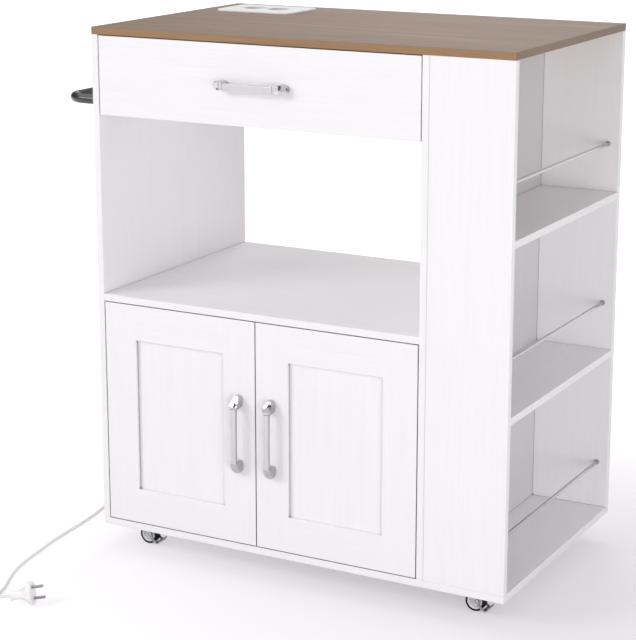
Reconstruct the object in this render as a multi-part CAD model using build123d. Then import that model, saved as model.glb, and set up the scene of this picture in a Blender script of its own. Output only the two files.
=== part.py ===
from build123d import *
import math
import os

# A kitchen cart on four casters: a cabinet with two doors, an open bay above it, a drawer, a side rack,
# a towel bar on the left and two mains sockets in the worktop. All sizes are in millimetres.
# X runs right from the left outer face, Y runs back from the front face and Z up from the floor.
# save() then moves every piece so that the origin lies on the floor below the middle of the outline.

# Carcass
width = 744.0
depth = 464.0
carcass_height = 840.0
board = 12.0
worktop_thickness = 12.0
caster_height = 42.0
arris = 0.6
cabinet_height = 384.0
rear_rail_height = 100.0
rack_width = 138.0
back_thickness = 4.0
back_inset = 10.0
groove_depth = 5.0

# Rack: heights of the two shelves above the bottom panel, and the rods in front of what they hold
rack_shelf_heights = (285.0, 559.0)
rod_height = 81.0
rod_inset = 19.5
rod_radius = 3.0
rod_socket_radius = 4.4
rod_socket_thickness = 4.0

# Adjustable shelf
shelf_side_gap = 1.0
shelf_front_inset = 40.0
shelf_rear_gap = 6.0
shelf_pin_radius = 2.5
shelf_pin_bite = 8.0
shelf_pin_reach = 9.0
shelf_pin_inset = 45.0
shelf_pin_height = 182.0
shelf_hole_spacing = 32.0

# Gaps round the doors and the drawer front, and their thickness
front_gap = 1.5
front_thickness = 15.0

# Doors
rail_width = 60.0
door_panel_thickness = 6.0
door_recess = 6.0
door_tongue = 6.0

# Hinges: the pin lies inside the door, and a curved arm passes round the door's swinging edge
hinge_pin_inset = 20.0
hinge_pin_depth = 7.0
hinge_end_distance = 62.0
hinge_pin_radius = 1.5
hinge_pin_length = 21.0
hinge_running_gap = 0.05
hinge_cup_radius = 13.0
hinge_skin = 3.2
hinge_floor = 0.8
hinge_slot_width = 16.0
hinge_slot_reach = 6.0
hinge_knuckle_radius = 2.6
hinge_knuckle_width = 14.0
hinge_arm_thickness = 2.2
hinge_arm_offset = 1.5
hinge_arm_clearance = 2.4
hinge_arm_bends = (5.0, 4.0)
hinge_plate_thickness = 1.5
hinge_plate_start = 32.0
hinge_plate_length = 28.0
hinge_plate_height = 42.0
hinge_plate_corner = 6.0
hinge_plate_screw_spacing = 28.0
hinge_wing_height = 42.0
hinge_wing_corner = 5.0
hinge_wing_thickness = 1.0
hinge_wing_screw_spacing = 33.0

# Screws of the hinges and the casters
screw_radius = 1.7
screw_length = 10.0
screw_head_radius = 3.1
screw_head_height = 1.5
screw_head_round = 0.7
screw_hole_gap = 0.3
screw_slot_width = 0.8
screw_slot_length = 3.6
screw_slot_depth = 0.9

# Magnetic catch behind the doors' meeting edges
catch_width = 46.0
catch_depth = 16.0
catch_height = 13.0
catch_gap = 0.5
strike_width = 18.0
strike_height = 14.0
strike_thickness = 1.2
strike_centre = 11.0
strike_drop = 9.0

# Small roundings and bevels of moulded and pressed pieces
moulded_edge = 1.5
roller_edge = 0.5

# Bow handles
handle_length = 135.0
handle_reach = 20.0
handle_pad_length = 26.0
handle_pad_width = 14.2
handle_grip_width = 8.8
handle_grip_thickness = 5.6
handle_foot_length = 19.0
handle_foot_inset = 2.5
handle_end_rise = 9.0
handle_slope_length = 19.0
handle_neck_radius = 12.0
handle_front_bend = 7.0
handle_bend = 4.5
handle_edge_round = 0.6

# Drawer
drawer_front_height = 129.3
drawer_rear_gap = 17.0
drawer_side_height = 90.0
drawer_side_lift = 18.8
drawer_bottom_thickness = 4.0
drawer_bottom_lift = 8.0

# Roller runners
runner_gap = 12.5
runner_height = 24.0
runner_metal = 1.2
cabinet_channel_depth = 6.0
drawer_channel_depth = 5.9
runner_setback = 3.0
roller_radius = 10.5
roller_width = 4.1
roller_side_gap = 0.3
roller_bore_gap = 0.05
roller_axle_radius = 2.5
front_roller_distance = 14.0
rear_roller_distance = 12.0
roller_cutaway = 13.0
runner_foot_width = 9.0

# Towel bar
towel_bar_radius = 8.0
towel_bar_reach = 74.0
towel_bar_drop = 112.0
towel_bar_inset = 32.0
towel_bar_bend = 34.0
towel_flange_radius = 15.0
towel_flange_thickness = 4.0

# Socket unit in the worktop
plate_width = 152.0
plate_depth = 104.0
plate_thickness = 3.0
plate_corner = 14.0
plate_left = 37.0
plate_from_back = 37.0
housing_width = 134.0
housing_depth = 86.0
housing_height = 42.0
housing_corner = 8.0
cutout_clearance = 1.0
socket_spacing = 48.0
socket_well_radius = 19.5
socket_well_depth = 14.0
socket_wall = 2.5
socket_floor = 3.0
pin_spacing = 19.0
pin_hole_radius = 2.6

# Cord, its strain relief and its plug
cord_radius = 2.5
relief_length = 28.0
relief_root_radius = 6.0
relief_tip_radius = 3.6
cord_exit_drop = 26.0
cord_exit_inset = 16.0
cord_hole_radius = 7.0
plug_end = (6.0, -281.0, 12.0)
plug_heading = 23.0
plug_tilt = 10.0
plug_lead = 9.3
plug_sleeve_length = 6.0
plug_sleeve_radius = 4.2
plug_sleeve_wall = 0.7
plug_length = 36.0
plug_rear_radius = 9.5
plug_waist_radius = 8.0
plug_waist_distance = 13.0
plug_shoulder_radius = 13.3
plug_shoulder_length = 4.0
plug_flange_radius = 18.5
plug_flange_thickness = 6.0
plug_pin_radius = 2.4
plug_pin_length = 19.0
plug_pin_tip = 1.8
plug_notch_width = 5.0
plug_notch_depth = 2.0

# Casters
caster_inset_left = 68.0
caster_inset_right = 60.0
caster_inset_y = 52.0
caster_trail = 8.0
caster_plate_size = 38.0
caster_plate_corner = 4.0
caster_plate_thickness = 2.0
caster_hole_spacing = 29.0
race_radius = 14.0
race_height = 3.0
swivel_gap = 0.3
crown_thickness = 1.8
crown_radius = 13.0
crown_corner = 4.0
rivet_radius = 4.0
rivet_head_radius = 5.5
rivet_head_thickness = 1.2
rivet_running_gap = 0.05
wheel_radius = 16.5
wheel_width = 14.0
tyre_depth = 3.6
tyre_round = 1.6
hub_inset = 0.7
hub_rim = 2.4
hub_web = 5.0
hub_boss_radius = 5.0
wheel_side_gap = 1.0
fork_metal = 1.5
axle_radius = 2.5
axle_running_gap = 0.05
axle_boss_radius = 4.2
axle_head_radius = 3.4
axle_head_thickness = 1.5

# Brake pedal: points are X and Z from the wheel's centre; its two arms pass outside the fork
pedal_pivot = (6.5, 3.5)
pedal_arm_path = ((6.5, 3.5), (9.0, -5.5), (17.0, -10.6))
pedal_strip_path = ((15.4, -11.2), (19.0, -12.3), (23.0, -10.6), (26.0, -5.0))
pedal_arm_bend = 5.0
pedal_strip_bends = (3.0, 3.0)
pedal_arm_width = 4.0
pedal_arm_thickness = 1.2
pedal_arm_gap = 0.3
pedal_metal = 1.6
pedal_eye_radius = 3.0
pedal_stud_radius = 1.5
pedal_stud_head_radius = 2.4
pedal_stud_head_thickness = 0.8

# Levels and faces that follow from the sizes above
floor_top = caster_height + board
shelf_under = floor_top + cabinet_height
bay_floor = shelf_under + board
worktop_under = caster_height + carcass_height
worktop_top = worktop_under + worktop_thickness
divider_left = width - rack_width - board
divider_right = width - rack_width
opening_middle = (board + divider_left) / 2
drawer_front_top = worktop_under - front_gap
drawer_front_bottom = drawer_front_top - drawer_front_height
drawer_floor = drawer_front_bottom + drawer_side_lift
drawer_left = board + runner_gap
drawer_right = divider_left - runner_gap
door_bottom = floor_top + front_gap
door_top = shelf_under - front_gap
door_width = (divider_left - board - 3 * front_gap) / 2
door_left = board + front_gap
handle_middle = (door_bottom + door_top) / 2
fork_inside = wheel_width / 2 + wheel_side_gap
fork_outside = fork_inside + fork_metal
plate_middle = (plate_left + plate_width / 2, depth - plate_from_back - plate_depth / 2)
drawer_back = plate_middle[1] - housing_depth / 2 - drawer_rear_gap
towel_bar_height = worktop_under - towel_bar_drop
cord_exit = (
    plate_middle[0] - housing_width / 2 + cord_exit_inset,
    plate_middle[1] + housing_depth / 2,
    worktop_under - cord_exit_drop,
)
origin = ((width - towel_bar_reach - towel_bar_radius) / 2, (depth - handle_reach) / 2, 0)

# The cord passes the rear rail, hangs behind the left upright and lies along the cart's left side
cord_points = [
    (62.0, 470.0, 856.0),
    (58.0, 485.0, 845.0),
    (50.0, 491.0, 824.0),
    (37.0, 492.5, 788.0),
    (19.0, 490.5, 741.0),
    (0.0, 488.0, 689.0),
    (-14.0, 487.0, 634.0),
    (-23.0, 487.5, 575.0),
    (-30.0, 488.5, 515.0),
    (-35.5, 490.0, 452.0),
    (-39.5, 491.5, 385.0),
    (-43.0, 492.0, 316.0),
    (-47.0, 491.5, 248.0),
    (-52.0, 489.5, 182.0),
    (-58.5, 485.0, 122.0),
    (-67.5, 476.5, 70.0),
    (-79.0, 462.0, 31.0),
    (-91.5, 440.0, 8.0),
    (-103.5, 409.0, 2.6),
    (-113.5, 363.0, 2.6),
    (-120.0, 309.0, 2.6),
    (-122.0, 256.0, 2.6),
    (-117.5, 203.0, 2.6),
    (-107.5, 152.0, 2.6),
    (-98.5, 101.0, 2.6),
    (-94.0, 52.0, 2.6),
    (-91.5, 4.0, 2.6),
    (-87.0, -43.0, 2.6),
    (-79.5, -88.0, 2.6),
    (-73.5, -131.0, 2.6),
    (-63.0, -171.0, 2.6),
    (-48.5, -206.0, 2.6),
    (-33.5, -237.0, 2.6),
    (-25.5, -262.5, 3.2),
    (-20.0, -277.0, 5.2),
    (-12.3, -283.3, 7.8),
]


def block(x_span, y_span, z_span):
    """A box between two values along each axis."""
    size = [high - low for low, high in (x_span, y_span, z_span)]
    middle = [(high + low) / 2 for low, high in (x_span, y_span, z_span)]
    return Pos(*middle) * Box(*size)


def coated_board(x_span, y_span, z_span):
    """A board with the small bevel of its coated edges."""
    piece = block(x_span, y_span, z_span)
    return chamfer(piece.edges(), arris)


def round_bar(start, end, radius):
    """A cylinder between two points."""
    run = Vector(*end) - Vector(*start)
    upright = Cylinder(radius, run.length, align=(Align.CENTER, Align.CENTER, Align.MIN))
    return Plane(origin=start, z_dir=run) * upright


def mirrored(piece):
    """The same piece on the other side of the cabinet's opening."""
    return mirror(piece, about=Plane.YZ.offset(opening_middle))


def screw(seat, direction):
    """A pan-head screw with a cross slot: seat is the middle of its head's underside."""
    upright = (Align.CENTER, Align.CENTER, Align.MIN)
    head = Pos(0, 0, -screw_head_height) * Cylinder(screw_head_radius, screw_head_height, align=upright)
    head = fillet(head.edges().filter_by(GeomType.CIRCLE).sort_by(Axis.Z)[0], screw_head_round)
    slot = Pos(0, 0, screw_slot_depth / 2 - screw_head_height) * Box(
        screw_slot_length, screw_slot_width, screw_slot_depth
    )
    whole = head + Cylinder(screw_radius, screw_length, align=upright) - slot - Rot(0, 0, 90) * slot
    return Plane(origin=seat, z_dir=direction) * whole


def screw_hole(seat, direction, radius=screw_radius):
    """The hole that a screw fills, or a wider one."""
    return round_bar(seat, Vector(*seat) + Vector(*direction) * screw_length, radius)


def save(name, *solids):
    """Write one node, moved so that the origin is on the floor below the outline's middle."""
    whole = Compound(children=[Pos(-origin[0], -origin[1], -origin[2]) * piece for piece in solids])
    export_step(whole, f"parts/{name}.step")


def back_panel_space():
    """The thin cabinet back in its grooves."""
    rear = depth - back_inset
    return block(
        (board - groove_depth, divider_left + groove_depth),
        (rear - back_thickness, rear),
        (floor_top - groove_depth, shelf_under + groove_depth),
    )


def shelf_pin_spots():
    """Y places of the shelf pins."""
    rear = depth - back_inset - back_thickness - shelf_rear_gap
    return (shelf_front_inset + shelf_pin_inset, rear - shelf_pin_inset)


def shelf_holes(face, direction):
    """Rows of blind holes for the shelf pins in one upright; direction points into the board."""
    holes = []
    for y in shelf_pin_spots():
        for step in (-1, 0, 1):
            z = floor_top + shelf_pin_height + step * shelf_hole_spacing
            holes.append(round_bar((face, y, z), (face + direction * shelf_pin_bite, y, z), shelf_pin_radius))
    return holes


def carcass_boards():
    """The fixed boards by name."""
    upright = (floor_top, worktop_under)
    full = (0, depth)
    between = (board, divider_left)
    rack = (divider_right, width)
    inside_rack = (board, depth - board)
    left = coated_board((0, board), full, upright)
    divider = coated_board((divider_left, divider_right), full, upright)
    bottom = coated_board((0, width), full, (caster_height, floor_top))
    shelf = coated_board(between, full, (shelf_under, bay_floor))
    rail = coated_board(between, (depth - board, depth), (worktop_under - rear_rail_height, worktop_under))
    hole_start = (cord_exit[0], depth - board - 1, cord_exit[2])
    hole_end = (cord_exit[0], depth + 1, cord_exit[2])
    back = back_panel_space()
    hinge_holes = [screw_hole(*place) for place in hinge_plate_screws()]
    caster_holes = [screw_hole(*place) for place in caster_screws()]
    boards = {
        "left_panel": left - back - shelf_holes(board, -1) - hinge_holes,
        "divider_panel": divider - back - shelf_holes(divider_left, 1) - [mirrored(hole) for hole in hinge_holes],
        "bottom_panel": bottom - back - caster_holes,
        "microwave_shelf": shelf - back,
        "rear_rail": rail - round_bar(hole_start, hole_end, cord_hole_radius),
        "cabinet_back_panel": back,
        "rack_front_panel": coated_board(rack, (0, board), upright),
        "rack_rear_panel": coated_board(rack, (depth - board, depth), upright),
    }
    for name, height in zip(("rack_shelf_lower", "rack_shelf_upper"), rack_shelf_heights):
        top = floor_top + height
        boards[name] = coated_board(rack, inside_rack, (top - board, top))
    return boards


def worktop():
    """The wooden top with the cut-out for the socket unit."""
    top = coated_board((0, width), (0, depth), (worktop_under, worktop_top))
    hole = Box(housing_width + 2 * cutout_clearance, housing_depth + 2 * cutout_clearance, 3 * worktop_thickness)
    return top - Pos(plate_middle[0], plate_middle[1], worktop_under) * hole


def rack_rods():
    """Three chromed rods across the open side of the rack, each in two small sockets."""
    x = width - rod_inset
    pieces = []
    for level in (0.0, *rack_shelf_heights):
        z = floor_top + level + rod_height
        front = (x, board, z)
        rear = (x, depth - board, z)
        rod = round_bar(front, rear, rod_radius)
        front_end = round_bar(front, (x, board + rod_socket_thickness, z), rod_socket_radius)
        rear_end = round_bar(rear, (x, depth - board - rod_socket_thickness, z), rod_socket_radius)
        pieces += [rod, front_end - rod, rear_end - rod]
    return pieces


def adjustable_shelf():
    """The loose cabinet shelf and the four pins that it lies on."""
    rear = depth - back_inset - back_thickness - shelf_rear_gap
    pin_z = floor_top + shelf_pin_height
    under = pin_z + shelf_pin_radius
    span = (board + shelf_side_gap, divider_left - shelf_side_gap)
    shelf = coated_board(span, (shelf_front_inset, rear), (under, under + board))
    pins = []
    for y in shelf_pin_spots():
        left_start = (board - shelf_pin_bite, y, pin_z)
        left = round_bar(left_start, (board + shelf_pin_reach, y, pin_z), shelf_pin_radius)
        pins += [left, mirrored(left)]
    return shelf, pins


def hinge_pin_place(z):
    """The left door's hinge pin at one height, with X towards the door's free edge and Y to the back."""
    return Pos(door_left + hinge_pin_inset, hinge_pin_depth, z)


def hinge_heights():
    """Heights of a door's two hinges."""
    return (door_bottom + hinge_end_distance, door_top - hinge_end_distance)


def hinge_plate_screws():
    """Seats and directions of the screws that hold the left door's hinge arms to the upright."""
    x = board + hinge_plate_thickness
    y = hinge_pin_depth + hinge_plate_start + hinge_plate_length / 2
    half = hinge_plate_screw_spacing / 2
    return [((x, y, z + side * half), (-1, 0, 0)) for z in hinge_heights() for side in (-1, 1)]


def hinge_wing_screws():
    """Seats and directions of the screws that hold the left door's hinge cups to its stile."""
    x = door_left + hinge_pin_inset
    y = front_thickness + hinge_wing_thickness
    half = hinge_wing_screw_spacing / 2
    return [((x, y, z + side * half), (0, -1, 0)) for z in hinge_heights() for side in (-1, 1)]


def hinge_cup_body():
    """The round space that the hinge cup fills in the door, from the front skin to the door's back."""
    skin = hinge_skin - hinge_pin_depth
    back = front_thickness - hinge_pin_depth
    return round_bar((0, skin, 0), (0, back, 0), hinge_cup_radius)


def hinge_slot(reach, floor):
    """The slot that the arm swings in, open to the door's hinge edge and back."""
    back = front_thickness - hinge_pin_depth + hinge_wing_thickness + 1
    half = hinge_slot_width / 2
    return block((-reach, hinge_slot_reach), (floor, back), (-half, half))


def hinge_cup():
    """The metal cup with its wings, and the pin across it."""
    back = front_thickness - hinge_pin_depth
    wing_half = hinge_wing_height / 2
    wings = block((-hinge_cup_radius, hinge_cup_radius), (back, back + hinge_wing_thickness), (-wing_half, wing_half))
    wings = fillet(wings.edges().filter_by(Axis.Y), hinge_wing_corner)
    pin = round_bar((0, 0, -hinge_pin_length / 2), (0, 0, hinge_pin_length / 2), hinge_pin_radius)
    slot = hinge_slot(hinge_cup_radius + 1, hinge_skin + hinge_floor - hinge_pin_depth)
    return hinge_cup_body() + wings - slot - pin, pin


def hinge_cups():
    """The left door's two hinge cups with their pins and screws."""
    holes = [screw_hole(*place, screw_radius + screw_hole_gap) for place in hinge_wing_screws()]
    pieces = []
    for z in hinge_heights():
        cup, pin = hinge_cup()
        pieces += [hinge_pin_place(z) * cup - holes, hinge_pin_place(z) * pin]
    return pieces + [screw(*place) for place in hinge_wing_screws()]


def hinge_arms():
    """The left door's two hinge arms."""
    holes = [screw_hole(*place, screw_radius + screw_hole_gap) for place in hinge_plate_screws()]
    return [hinge_pin_place(z) * hinge_arm() - holes for z in hinge_heights()]


def hinge_arm():
    """The fixed arm: a knuckle on the pin, a neck round the door's edge and a plate on the upright."""
    wall = -(hinge_pin_inset + front_gap)
    edge_radius = math.hypot(hinge_pin_inset, hinge_pin_depth - hinge_skin)
    turn = edge_radius + hinge_arm_clearance + hinge_arm_thickness / 2
    strap_x = wall + hinge_plate_thickness + hinge_arm_thickness / 2
    plate_end = hinge_plate_start + hinge_plate_length
    path = FilletPolyline(
        (hinge_arm_offset, 0),
        (hinge_arm_offset, turn),
        (strap_x, turn),
        (strap_x, plate_end - 2),
        radius=list(hinge_arm_bends),
    )
    strap = extrude(trace(path, hinge_arm_thickness), hinge_knuckle_width / 2, both=True)
    half = hinge_knuckle_width / 2
    knuckle = round_bar((0, 0, -half), (0, 0, half), hinge_knuckle_radius)
    bore = round_bar((0, 0, -half - 1), (0, 0, half + 1), hinge_pin_radius + hinge_running_gap)
    plate_half = hinge_plate_height / 2
    plate = block((wall, wall + hinge_plate_thickness), (hinge_plate_start, plate_end), (-plate_half, plate_half))
    plate = fillet(plate.edges().filter_by(Axis.X), hinge_plate_corner)
    return strap + knuckle + plate - bore


def door_boards():
    """The left door's two stiles, two rails and its thin panel."""
    right = door_left + door_width
    inner_left = door_left + rail_width
    inner_right = right - rail_width
    thick = (0, front_thickness)
    full = (door_bottom, door_top)
    low = door_bottom + rail_width
    high = door_top - rail_width
    ring = block((door_left, right), thick, full) - block((inner_left, inner_right), thick, (low, high))
    ring = chamfer(ring.edges(), arris)
    stile_left = ring & block((door_left, inner_left), thick, full)
    stile_right = ring & block((inner_right, right), thick, full)
    rail_low = ring & block((inner_left, inner_right), thick, (door_bottom, low))
    rail_high = ring & block((inner_left, inner_right), thick, (high, door_top))
    panel = block(
        (inner_left - door_tongue, inner_right + door_tongue),
        (door_recess, door_recess + door_panel_thickness),
        (low - door_tongue, high + door_tongue),
    )
    skin = hinge_skin - hinge_pin_depth
    for z in hinge_heights():
        place = hinge_pin_place(z)
        notch = place * hinge_slot(hinge_pin_inset + 1, skin)
        stile_left = stile_left - place * hinge_cup_body() - notch
    stile_left = stile_left - [screw_hole(*place) for place in hinge_wing_screws()]
    frame = [piece - panel for piece in (stile_left, stile_right, rail_low, rail_high)]
    return frame, panel


def bow_handle():
    """A bow handle along X on the plane Y = 0: an arched strap whose ends swell into oval pads."""
    half = handle_length / 2
    foot_in = half - handle_foot_inset - handle_foot_length
    under = handle_grip_thickness - handle_reach
    right_side = [
        (half - handle_slope_length, -handle_reach),
        (half, -handle_end_rise),
        (half - handle_foot_inset, 0),
        (foot_in, 0),
        (foot_in - handle_foot_inset, under),
    ]
    left_side = [(-x, y) for x, y in reversed(right_side)]
    bends = [handle_front_bend, handle_bend, 0.0, 0.0, handle_bend]
    arch = FilletPolyline(right_side + left_side, radius=bends + bends[::-1], close=True)
    strap = extrude(make_face(arch), handle_pad_width / 2, both=True)
    pad_x = half - handle_pad_length / 2
    pad = Ellipse(handle_pad_length / 2, handle_pad_width / 2)
    outline = Rectangle(2 * pad_x, handle_grip_width) + Pos(pad_x, 0) * pad + Pos(-pad_x, 0) * pad
    necks = [v for v in outline.vertices() if abs(abs(v.Y) - handle_grip_width / 2) < 0.01]
    outline = fillet(necks, handle_neck_radius)
    column = extrude(Plane.XZ * outline, handle_reach * 2, both=True)
    handle = strap & column
    open_edges = [edge for edge in handle.edges() if edge.center().Y < -handle_edge_round]
    return fillet(open_edges, handle_edge_round)


def catch():
    """The double magnetic catch under the cabinet's top, and the left door's strike plate."""
    front = front_thickness + strike_thickness + catch_gap
    x_span = (opening_middle - catch_width / 2, opening_middle + catch_width / 2)
    body = block(x_span, (front, front + catch_depth), (shelf_under - catch_height, shelf_under))
    body = chamfer(body.edges().filter_by(Axis.Y), moulded_edge)
    x = opening_middle - front_gap / 2 - strike_centre
    z = shelf_under - strike_drop
    strike = block(
        (x - strike_width / 2, x + strike_width / 2),
        (front_thickness, front_thickness + strike_thickness),
        (z - strike_height / 2, z + strike_height / 2),
    )
    return body, strike


def drawer_boards():
    """The drawer's front, sides, back and bottom."""
    under = drawer_floor + drawer_bottom_lift
    over = under + drawer_bottom_thickness
    top = drawer_floor + drawer_side_height
    bottom = block(
        (drawer_left + board - groove_depth, drawer_right - board + groove_depth),
        (front_thickness - groove_depth, drawer_back),
        (under, over),
    )
    front = coated_board(
        (door_left, divider_left - front_gap), (0, front_thickness), (drawer_front_bottom, drawer_front_top)
    )
    side = coated_board((drawer_left, drawer_left + board), (front_thickness, drawer_back), (drawer_floor, top))
    side = side - bottom
    back = coated_board((drawer_left + board, drawer_right - board), (drawer_back - board, drawer_back), (over, top))
    return front - bottom, [side, mirrored(side), back], bottom


def cabinet_runner():
    """The left upright's runner: a channel open to the drawer, with the axle of the front roller."""
    low = drawer_floor
    high = drawer_floor + runner_height
    start = front_thickness + runner_setback
    end = drawer_back
    channel_start = start + front_roller_distance + roller_cutaway
    web = block((board, board + runner_metal), (start, end), (low, high))
    outer = block((board, board + cabinet_channel_depth), (channel_start, end), (low, high))
    inner = block(
        (board + runner_metal, board + cabinet_channel_depth + 1),
        (channel_start - 1, end + 1),
        (low + runner_metal, high - runner_metal),
    )
    y = start + front_roller_distance
    z = low + runner_height / 2
    axle = round_bar((board, y, z), (drawer_left - runner_metal - roller_side_gap, y, z), roller_axle_radius)
    return web + (outer - inner) + axle


def drawer_runner():
    """The left drawer side's runner: a channel open to the upright, with the axle of the rear roller."""
    low = drawer_floor
    high = drawer_floor + runner_height
    end = drawer_back
    channel_end = end - rear_roller_distance - roller_cutaway
    web = block((drawer_left - runner_metal, drawer_left), (front_thickness, end), (low, high))
    outer = block((drawer_left - drawer_channel_depth, drawer_left), (front_thickness, channel_end), (low, high))
    inner = block(
        (drawer_left - drawer_channel_depth - 1, drawer_left - runner_metal),
        (front_thickness - 1, channel_end + 1),
        (low + runner_metal, high - runner_metal),
    )
    foot = block(
        (drawer_left - runner_metal, drawer_left + runner_foot_width), (front_thickness, end), (low - runner_metal, low)
    )
    y = end - rear_roller_distance
    z = low + runner_height / 2
    axle = round_bar((drawer_left, y, z), (board + runner_metal + roller_side_gap, y, z), roller_axle_radius)
    return web + (outer - inner) + foot + axle


def roller(x_low, y):
    """A nylon roller with its bore, from one X face inwards."""
    z = drawer_floor + runner_height / 2
    tread = round_bar((x_low, y, z), (x_low + roller_width, y, z), roller_radius)
    bore = round_bar((x_low - 1, y, z), (x_low + roller_width + 1, y, z), roller_axle_radius + roller_bore_gap)
    return chamfer(tread.edges().filter_by(GeomType.CIRCLE), roller_edge) - bore


def towel_bar():
    """The bent towel bar on the left upright, with a round flange at each end."""
    y_front = towel_bar_inset
    y_rear = depth - towel_bar_inset
    z = towel_bar_height
    path = FilletPolyline(
        (-towel_flange_thickness, y_front, z),
        (-towel_bar_reach, y_front, z),
        (-towel_bar_reach, y_rear, z),
        (-towel_flange_thickness, y_rear, z),
        radius=towel_bar_bend,
    )
    start = Plane(origin=path @ 0, z_dir=path % 0)
    bar = sweep(start * Circle(towel_bar_radius), path)
    flanges = []
    for y in (y_front, y_rear):
        disc = round_bar((0, y, z), (-towel_flange_thickness, y, z), towel_flange_radius)
        outer_rim = disc.edges().filter_by(GeomType.CIRCLE).sort_by(Axis.X)[0]
        flanges.append(fillet(outer_rim, moulded_edge))
    return [bar] + flanges


def socket_unit():
    """The socket unit: its cover plate, the housing below the worktop and the two round sockets."""
    x, y = plate_middle
    plate = extrude(RectangleRounded(plate_width, plate_depth, plate_corner), plate_thickness)
    plate = fillet(plate.edges().group_by(Axis.Z)[-1], moulded_edge)
    plate = Pos(x, y, worktop_top) * plate
    housing_bottom = worktop_under - housing_height
    shell = RectangleRounded(housing_width, housing_depth, housing_corner)
    housing = Pos(x, y, housing_bottom) * extrude(shell, worktop_top - housing_bottom)
    face = worktop_top + plate_thickness
    well_floor = face - socket_well_depth
    sockets = []
    for side in (-1, 1):
        sx = x + side * socket_spacing / 2
        body = round_bar((sx, y, well_floor - socket_floor), (sx, y, face), socket_well_radius + socket_wall)
        plate = plate - body
        housing = housing - body
        well = round_bar((sx, y, well_floor), (sx, y, face + 1), socket_well_radius)
        socket = body - well
        for pin_side in (-1, 1):
            py = y + pin_side * pin_spacing / 2
            hole_top = (sx, py, face)
            socket = socket - round_bar((sx, py, well_floor - socket_floor - 1), hole_top, pin_hole_radius)
        sockets.append(socket)
    return plate, housing, sockets


def strain_relief():
    """The tapered sleeve where the cord leaves the housing."""
    taper = Cone(relief_root_radius, relief_tip_radius, relief_length, align=(Align.CENTER, Align.CENTER, Align.MIN))
    bore = Cylinder(cord_radius, relief_length, align=(Align.CENTER, Align.CENTER, Align.MIN))
    return Plane(origin=cord_exit, z_dir=(0, 1, 0)) * (taper - Pos(0, 0, relief_length / 2) * bore)


def plug_place():
    """Where the plug lies: X along its pins, origin where the cord enters its sleeve."""
    return Pos(*plug_end) * Rot(0, 0, plug_heading) * Rot(0, -plug_tilt, 0)


def plug():
    """The plug's moulded body and its two round pins."""
    start = plug_sleeve_length
    face = start + plug_length
    flange = face - plug_flange_thickness
    tip = (0, cord_radius + plug_sleeve_wall)
    sleeve = (start, plug_sleeve_radius)
    rear = (start, plug_rear_radius)
    waist = (start + plug_waist_distance, plug_waist_radius)
    shoulder = (flange - plug_shoulder_length, plug_shoulder_radius)
    rim = (flange, plug_flange_radius)
    rim_end = (face, plug_flange_radius)
    outline = [
        Polyline((face, 0), (0, 0), tip, sleeve, rear),
        ThreePointArc(rear, waist, shoulder),
        Polyline(shoulder, rim, rim_end, (face, 0)),
    ]
    body = revolve(make_face(outline), Axis.X)
    for side in (-1, 1):
        notch = Box(plug_length, 2 * plug_notch_depth, plug_notch_width)
        body = body - Pos(face, side * plug_flange_radius, 0) * notch
    pins = []
    for side in (-1, 1):
        z = side * pin_spacing / 2
        pin = round_bar((face, 0, z), (face + plug_pin_length, 0, z), plug_pin_radius)
        end = pin.edges().filter_by(GeomType.CIRCLE).sort_by(Axis.X)[-1]
        pins.append(fillet(end, plug_pin_tip))
    place = plug_place()
    return place * body, [place * pin for pin in pins]


def cord_route():
    """All points of the cord: from inside the strain relief, straight into it and straight into the plug."""
    first = Vector(cord_exit[0], cord_exit[1] + relief_length / 2, cord_exit[2])
    before_plug = (plug_place() * Pos(-plug_lead, 0, 0)).position
    return [first] + [Vector(*point) for point in cord_points] + [before_plug, Vector(*plug_end)]


def corner_radii(points):
    """The radius at each corner: as large as the two runs beside it allow."""
    radii = []
    for before, corner, after in zip(points, points[1:], points[2:]):
        turn = (corner - before).get_angle(after - corner)
        run = min((corner - before).length, (after - corner).length)
        radii.append(0.45 * run / math.tan(math.radians(turn) / 2))
    return radii


def power_cord():
    """The cord as one tube along its route."""
    points = cord_route()
    radii = corner_radii(points)
    path = FilletPolyline(points, radius=radii)
    tube = sweep(Plane(origin=path @ 0, z_dir=path % 0) * Circle(cord_radius), path)
    runs = [(b - a).length for a, b in zip(points, points[1:])]
    share = tube.volume / (math.pi * cord_radius**2 * path.length)
    print("cord length", round(path.length, 1), "volume over section times length", round(share, 4))
    print("cord runs", [round(run) for run in runs])
    print("cord radii", [round(radius) for radius in radii])
    print("cord smallest radius in diameters", round(min(radii) / (2 * cord_radius), 2))
    return tube


def caster_plate():
    """The fixed top plate with its race and the rivet that the fork turns on."""
    plate_low = caster_height - caster_plate_thickness
    race_low = plate_low - race_height
    outline = RectangleRounded(caster_plate_size, caster_plate_size, caster_plate_corner)
    plate = Pos(0, 0, plate_low) * extrude(outline, caster_plate_thickness)
    with_race = plate + round_bar((0, 0, race_low), (0, 0, plate_low), race_radius)
    half = caster_hole_spacing / 2
    for x, y in ((-half, -half), (-half, half), (half, -half), (half, half)):
        with_race = with_race - screw_hole((x, y, plate_low), (0, 0, 1), screw_radius + screw_hole_gap)
    crown_low = race_low - swivel_gap - crown_thickness
    head_top = crown_low - swivel_gap
    shank = round_bar((0, 0, head_top), (0, 0, race_low), rivet_radius)
    head = round_bar((0, 0, head_top - rivet_head_thickness), (0, 0, head_top), rivet_head_radius)
    return with_race + shank + head


def beside_wheel(point, y_low, y_high, radius):
    """A cylinder along Y at a point given from the wheel's centre."""
    x = point[0] - caster_trail
    z = point[1] + wheel_radius
    return round_bar((x, y_low, z), (x, y_high, z), radius)


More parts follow.
